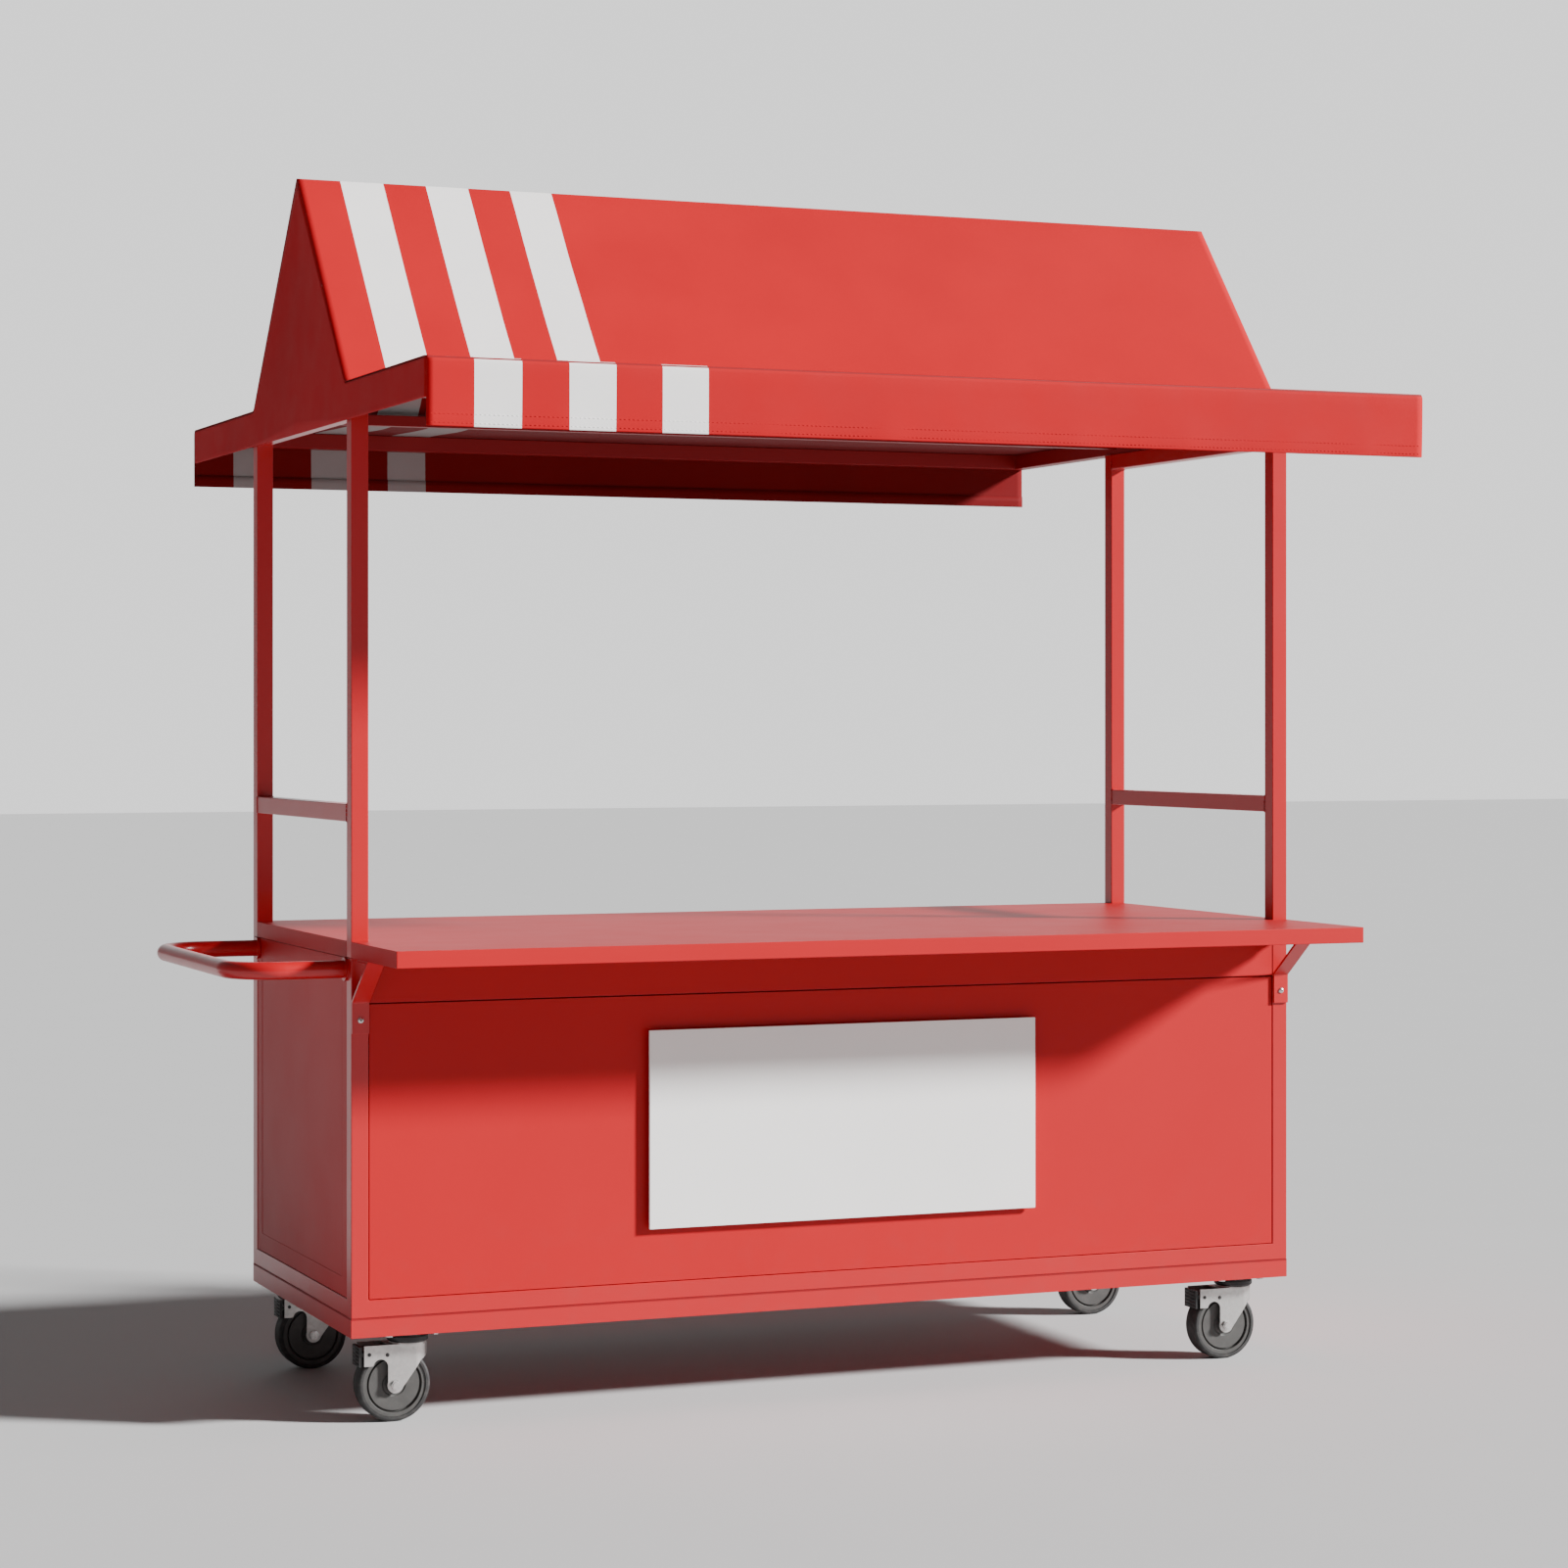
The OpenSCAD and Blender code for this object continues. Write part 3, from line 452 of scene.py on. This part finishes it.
def canopy_profile():
    half = canopy_half()[:-1]
    mirrored = [Vector((-p.x, p.y)) for p in reversed(half)]
    top = rounded([half[-1], Vector((0, RIDGE_Z)), mirrored[0]], [RIDGE_FOLD], 8)[1:-1]
    return finer(half + top + mirrored, 18 * MM)


def window(value, low, high, soft):
    """0 at low and high, rising smoothly to 1 within soft of them."""
    edge = min(value - low, high - value) / soft
    edge = max(0.0, min(1.0, edge))
    return edge * edge * (3 - 2 * edge)


def sag(x, y, z):
    """How far the stretched cloth hangs in from its straight shape, with shallow pulls near the frame."""
    if abs(y) > HALF_DEPTH - 12 * MM:
        # Valance: free lower edge, waving a little
        drop = max(0.0, (WING_Z - z) / (WING_Z - VALANCE_Z))
        wave = math.sin(x * 11.0 + (1.7 if y > 0 else 0.0)) + 0.5 * math.sin(x * 23.0 + 0.8)
        return Vector((0, -math.copysign(VALANCE_WAVE * MM * drop * drop * wave, y), 0))
    bays = window((x - CANOPY_LO.x) % RAFTER_BAY, 0.0, RAFTER_BAY, 0.42)
    if abs(y) > HALF_GABLE:
        across = window(abs(y), HALF_GABLE + 0.012, HALF_DEPTH - 0.034, 0.22)
        pull = 0.6 * math.sin(x * 17.0 + y * 9.0) + 0.4 * math.sin(x * 31.0 - y * 14.0)
        along = window(x, CANOPY_LO.x + 0.036, CANOPY_HI.x - 0.036, 0.30)
        return Vector((0, 0, -(WING_SAG + 0.9 * pull) * MM * across * along))
    up = (z - WING_Z) / (RIDGE_Z - WING_Z)
    across = window(up, 0.04, 0.95, 0.35)
    pull = math.sin(x * 13.0 + up * 7.0) + 0.5 * math.sin(x * 29.0 - up * 11.0)
    inward = (SLOPE_SAG + 0.5 * pull) * MM * across * bays
    return Vector((0, -math.copysign(inward * 0.77, y) if abs(y) > 1e-4 else 0.0, -inward * 0.63))



def cloth_grid(name, columns, rows, point, flat_uv):
    """A cloth mesh with a UV map in metres, from point(i, j) and flat_uv(i, j)."""
    points = [point(i, j) for i in range(columns) for j in range(rows)]
    faces = [
        (i * rows + j, (i + 1) * rows + j, (i + 1) * rows + j + 1, i * rows + j + 1)
        for i in range(columns - 1) for j in range(rows - 1)
    ]
    mesh = mesh_of(name, points, faces)
    layer = mesh.uv_layers.new(name="flat")
    for loop in mesh.loops:
        i, j = divmod(loop.vertex_index, rows)
        layer.data[loop.index].uv = flat_uv(i, j)
    return mesh


def thicken(piece, thickness, shaded_inside):
    """Gives a cloth its thickness, with a darker copy of the same cloth on the face that looks inwards: painted
    shade.
    """
    piece.data.materials.append(MATERIALS[shaded_inside])
    solid = piece.modifiers.new("thickness", "SOLIDIFY")
    solid.thickness = thickness
    solid.offset = 0.0
    # The inward shell gets the darker copy of the cloth, as painted shade
    solid.material_offset = 1


def canopy():
    profile = canopy_profile()
    lengths = [0.0]
    for a, b in zip(profile, profile[1:]):
        lengths.append(lengths[-1] + (b - a).length)
    x0, x1 = CANOPY_LO.x + 0.2 * MM, CANOPY_HI.x - 0.2 * MM
    columns = 147

    def point(i, j):
        x = x0 + (x1 - x0) * i / (columns - 1)
        p = profile[j]
        return Vector((x, p.x, p.y)) + sag(x, p.x, p.y)

    def flat(i, j):
        return ((x1 - x0) * i / (columns - 1), lengths[j])

    mesh = cloth_grid("canopy_cloth", columns, len(profile), point, flat)
    cover = add_piece("canopy_cloth", mesh, "cart", MATERIALS["canopy_cloth"])
    thicken(cover, CLOTH, "striped_inside_painted_shade")
    # The folded-in hem faces inwards, so its visible face gets the same painted shade as the inside round it
    rows = len(profile) - 1
    for k, face in enumerate(mesh.polygons):
        middle = (profile[k % rows] + profile[k % rows + 1]) / 2
        if abs(middle.x) < HALF_DEPTH - HEM_GAP / 2 and middle.y < WING_Z - HEM:
            face.material_index = 1
    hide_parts("canopy_cover")
    return cover, profile, lengths[-1], x1 - x0


def stitch_row(start, end, out, step=SEW_STEP, radius=0.45 * MM):
    """Short threads lying on the cloth from start to end, each dipping in at its ends."""
    run = end - start
    count = int(run.length / step)
    shapes = []
    for k in range(count):
        a = start + run * ((k + 0.15) / count)
        b = start + run * ((k + 0.80) / count)
        mid = (a + b) / 2 + out * radius
        shapes.append(tube_between([a - out * radius, mid, b - out * radius], radius, 5))
    return shapes


def canopy_stitching():
    """Two rows of stitches along each valance hem."""
    shapes = []
    for side in (-1, 1):
        out = Vector((0, side, 0))
        y = side * (HALF_DEPTH + CLOTH / 2)
        for z in (VALANCE_Z + HEM - 3 * MM, VALANCE_Z + 5 * MM):
            length = CANOPY_HI.x - CANOPY_LO.x - 8 * MM
            xs = [CANOPY_LO.x + 4 * MM + length * k / SEAM_PARTS for k in range(SEAM_PARTS + 1)]
            for a, b in zip(xs, xs[1:]):
                p, q = (Vector((x, y, z)) + sag(x, side * HALF_DEPTH, z) for x in (a, b))
                shapes += stitch_row(p, q, out)
    mesh = mesh_of("canopy_stitches", *joined(shapes))
    return add_piece("canopy_stitches", mesh, "cart", MATERIALS["canopy_cloth"])


GABLE_SLOPE = (RIDGE_Z - WING_Z) / HALF_GABLE
GABLE_HEM = 16 * MM


def under_cover(y):
    """Height of the cover's lower face above a place on its end."""
    return max(WING_Z, RIDGE_Z - abs(y) * GABLE_SLOPE) - 2.2 * MM


def end_cloth(name, x, inward, y_end, foot, top):
    """An upright cloth at one end, from its hemmed foot up to top(y), drawn in a little below the ridge."""
    columns, rows, hem_rows = 121, 25, 5

    def place(i, j):
        y = -y_end + 2 * y_end * i / (columns - 1)
        if j < hem_rows:
            return Vector((x + inward * 0.8 * MM, y, foot + GABLE_HEM * (1 - j / (hem_rows - 1))))
        z = foot + (j - hem_rows) / (rows - hem_rows - 1) * (top(y) - foot)
        inner = window(abs(y), -1.0, HALF_GABLE, 0.25) * window(z, WING_Z, top(y) + 1 * MM, 0.16)
        dent = inward * (1.2 + 0.5 * math.sin(y * 21.0 + z * 13.0)) * 2.0 * MM * inner
        return Vector((x - inward * 0.3 * MM + dent, y, z))

    def flat(i, j):
        p = place(i, j)
        return (p.y, p.z)

    mesh = cloth_grid(name, columns, rows, place, flat)
    if inward > 0:
        mesh.flip_normals()
    cloth = add_piece(name, mesh, "cart", MATERIALS["gable_cloth"])
    thicken(cloth, 0.6 * MM, "plain_inside_painted_shade")
    height = max(top(0.0), top(y_end)) - foot
    middles = (-y_end + 2 * y_end * (i + 0.5) / columns for i in range(columns))
    area = sum(top(y) - foot for y in middles) * 2 * y_end / columns
    return cloth


def gables():
    """The handle end has one cloth from ridge to band; the other end has a triangle and a narrow band."""
    left_x = (GABLE_L_LO.x + GABLE_L_HI.x) / 2
    right_x = (GABLE_R_LO.x + GABLE_R_HI.x) / 2
    y_end = GABLE_L_HI.y - 0.5 * MM
    left = end_cloth("gable_cloth_left", left_x, 1, y_end, GABLE_L_LO.z + CLOTH, under_cover)
    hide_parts("gable_left")
    right = end_cloth("gable_cloth_right", right_x, -1, HALF_GABLE, WING_Z - 3 * MM, under_cover)
    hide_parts("gable_right")
    end_cloth("band_cloth_right", right_x, -1, y_end, GABLE_R_LO.z + CLOTH, lambda y: WING_Z - 2.2 * MM)


cover, profile, cover_length, cover_width = canopy()
stitches = canopy_stitching()
gables()


# ---- Small hardware ----

def bracket_screws():
    """Round-headed hexagon-socket screws on the bracket pads, in place of the plain CAD heads."""
    lo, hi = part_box("bracket_screws")
    z = (lo.z + hi.z) / 2
    face = hi.y
    turn = Matrix.Rotation(math.radians(90), 3, "X")
    radius = (hi.z - lo.z) / 2
    rise = hi.y - lo.y
    dome = [(radius * math.cos(a), rise * math.sin(a)) for a in (math.radians(6 * k) for k in range(13))]
    socket = [(radius * 0.40, rise * 0.94), (radius * 0.36, rise * 0.45), (0.0001, rise * 0.42)]
    outline = [(0.0001, 0.0)] + dome + socket
    shapes = [lathe(outline, Vector((x, face, z)), turn, 36) for x in (lo.x + radius, hi.x - radius)]
    mesh = mesh_of("bracket_screw_heads", *joined(shapes))
    piece = add_piece("bracket_screw_heads", mesh, "cart", MATERIALS["bright_steel"])
    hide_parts("bracket_screws")


DUST_RING_RADIUS = 30.2 * MM
RIVET_BACK = 42 * MM
CHEEK_OUT = 25 * MM
RIB_COUNT = 5


def caster_details(corner):
    """The black dust ring above the fork, the rivets on the fork's ears, and grip ribs on the pedal."""
    fork_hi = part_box("fork_" + corner)[1]
    pedal_lo, pedal_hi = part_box("pedal_" + corner)
    pin = next(j for j in frame["joints"] if j["name"] == "swivel_" + corner)["pos_m"]
    axis = Vector((pin[0], pin[1], 0))
    ring_low, ring_high = fork_hi.z + 1.0 * MM, fork_hi.z + 12 * MM
    cup = DUST_RING_RADIUS
    outline = [
        (cup, ring_low), (cup + 3.2 * MM, ring_low), (cup + 5.2 * MM, ring_low + 2 * MM),
        (cup + 5.2 * MM, ring_high - 3 * MM), (cup + 3.0 * MM, ring_high), (cup, ring_high),
    ]
    mesh = mesh_of("dust_ring_" + corner, *lathe(outline, axis))
    add_piece("dust_ring_" + corner, mesh, "cart", MATERIALS["pedal_black"], smooth=False)

    rivets = []
    head = [(0.0001, 0.0), (3.4 * MM, 0.0), (3.2 * MM, 0.8 * MM), (2.2 * MM, 1.6 * MM), (0.0001, 1.9 * MM)]
    for side in (-1, 1):
        turn = Matrix.Rotation(math.radians(-90 * side), 3, "X")
        height = (pedal_lo.z + pedal_hi.z) / 2 + 2 * MM
        centre = Vector((axis.x - RIVET_BACK, axis.y + side * CHEEK_OUT, height))
        rivets.append(lathe(head, centre, turn, 24))
    mesh = mesh_of("fork_rivets_" + corner, *joined(rivets))
    add_piece("fork_rivets_" + corner, mesh, "swivel_" + corner, MATERIALS["pedal_black"])

    ribs = []
    for k in range(RIB_COUNT):
        z = pedal_lo.z + (pedal_hi.z - pedal_lo.z) * (k + 0.7) / 5.4
        a = Vector((pedal_lo.x, pedal_lo.y + 7 * MM, z))
        b = Vector((pedal_lo.x, pedal_hi.y - 7 * MM, z))
        ribs.append(tube_between([a, a.lerp(b, 0.5), b], 1.1 * MM, 8))
    mesh = mesh_of("pedal_ribs_" + corner, *joined(ribs))
    add_piece("pedal_ribs_" + corner, mesh, "pedal_" + corner, MATERIALS["pedal_black"])


BEAD_PARTS = 9
BEAD_RADIUS = 1.5 * MM
BEAD_RIPPLE = 0.5


def weld_beads():
    """A rippled bead round each end of the guard bars and cross beams, where they meet the posts."""
    random.seed(4)
    shapes = []
    for node in ("guard_bars", "cross_beams"):
        lo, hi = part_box(node)
        side = hi.z - lo.z
        for x0 in (lo.x, hi.x - side):
            for y, inward in ((lo.y, 1), (hi.y, -1)):
                corners = [
                    Vector((x0, y, lo.z)), Vector((x0 + side, y, lo.z)),
                    Vector((x0 + side, y, hi.z)), Vector((x0, y, hi.z)),
                ]
                for a, b in zip(corners, corners[1:] + corners[:1]):
                    path = [a.lerp(b, k / BEAD_PARTS) for k in range(BEAD_PARTS + 1)]
                    rippled = [
                        p + Vector((0, inward * random.uniform(0.0, BEAD_RIPPLE) * MM, 0)) for p in path
                    ]
                    shapes.append(tube_between(rippled, BEAD_RADIUS, 6))
    mesh = mesh_of("weld_beads", *joined(shapes))
    add_piece("weld_beads", mesh, "cart", MATERIALS["frame_red"])


bracket_screws()
for corner in CORNERS:
    caster_details(corner)
weld_beads()


# ---- Stage, light and camera ----

CAMERA_PLACE = Vector((-2.4165, -6.2110, 1.1940))
CAMERA_TURN = 22.2355
LENS = 82.64
CAMERA_SHIFT = -0.0406
KEY_TRAVEL = Vector((-1.63, 1.0, -0.90))
KEY_ENERGY = 10.6
WALL = 0.17
CEILING = 0.13
BACKDROP = 1.15
BACKDROP_WAY = Vector((0.378, 0.926, 0.0))


def soft_world():
    """White walls all round, brighter behind the cart, and a dimmer ceiling."""
    world = bpy.data.worlds.new("studio")
    world.use_nodes = True
    nodes, links = world.node_tree.nodes, world.node_tree.links
    way = nodes.new("ShaderNodeTexCoord").outputs["Generated"]
    background = nodes["Background"]
    background.inputs["Color"].default_value = (1.0, 1.0, 1.0, 1.0)

    def lift(direction, low, high, dim, bright):
        dot = nodes.new("ShaderNodeVectorMath")
        dot.operation = "DOT_PRODUCT"
        links.new(way, dot.inputs[0])
        dot.inputs[1].default_value = direction
        span = nodes.new("ShaderNodeMapRange")
        span.interpolation_type = "SMOOTHSTEP"
        links.new(dot.outputs["Value"], span.inputs["Value"])
        for socket, number in zip(RANGE_SOCKETS, (low, high, dim, bright)):
            span.inputs[socket].default_value = number
        return span.outputs["Result"]

    wall = lift((0.0, 0.0, 1.0), 0.10, 0.60, WALL, CEILING)
    backdrop = lift(BACKDROP_WAY, 0.80, 0.965, 0.0, BACKDROP)
    total = nodes.new("ShaderNodeMath")
    links.new(wall, total.inputs[0])
    links.new(backdrop, total.inputs[1])
    links.new(total.outputs[0], background.inputs["Strength"])
    return world


def studio():
    size = 40.0
    corners = ((-size, -size), (size, -size), (size, size), (-size, size))
    mesh = mesh_of("floor", [Vector((x, y, 0)) for x, y in corners], [(0, 1, 2, 3)])
    floor = bpy.data.objects.new("floor", mesh)
    bpy.context.scene.collection.objects.link(floor)
    t = Tree("studio_floor")
    t.set(Base_Color=t.mix(t.noise(3.0), (0.56, 0.56, 0.56), (0.58, 0.58, 0.58)))
    t.set(Roughness=0.9)
    mesh.materials.append(t.material)

    bpy.context.scene.world = soft_world()

    key = bpy.data.lights.new("key", "SUN")
    key.energy = KEY_ENERGY
    key.angle = math.radians(7)
    lamp = bpy.data.objects.new("key", key)
    lamp.rotation_mode = "QUATERNION"
    lamp.rotation_quaternion = KEY_TRAVEL.to_track_quat("-Z", "Y")
    bpy.context.scene.collection.objects.link(lamp)


def camera():
    data = bpy.data.cameras.new("camera")
    data.lens = LENS
    data.sensor_width = 36.0
    data.shift_y = CAMERA_SHIFT
    data.clip_end = 200.0
    view = bpy.data.objects.new("camera", data)
    view.location = CAMERA_PLACE
    view.rotation_euler = (math.radians(90), 0, -math.radians(CAMERA_TURN))
    bpy.context.scene.collection.objects.link(view)
    bpy.context.scene.camera = view


studio()
camera()
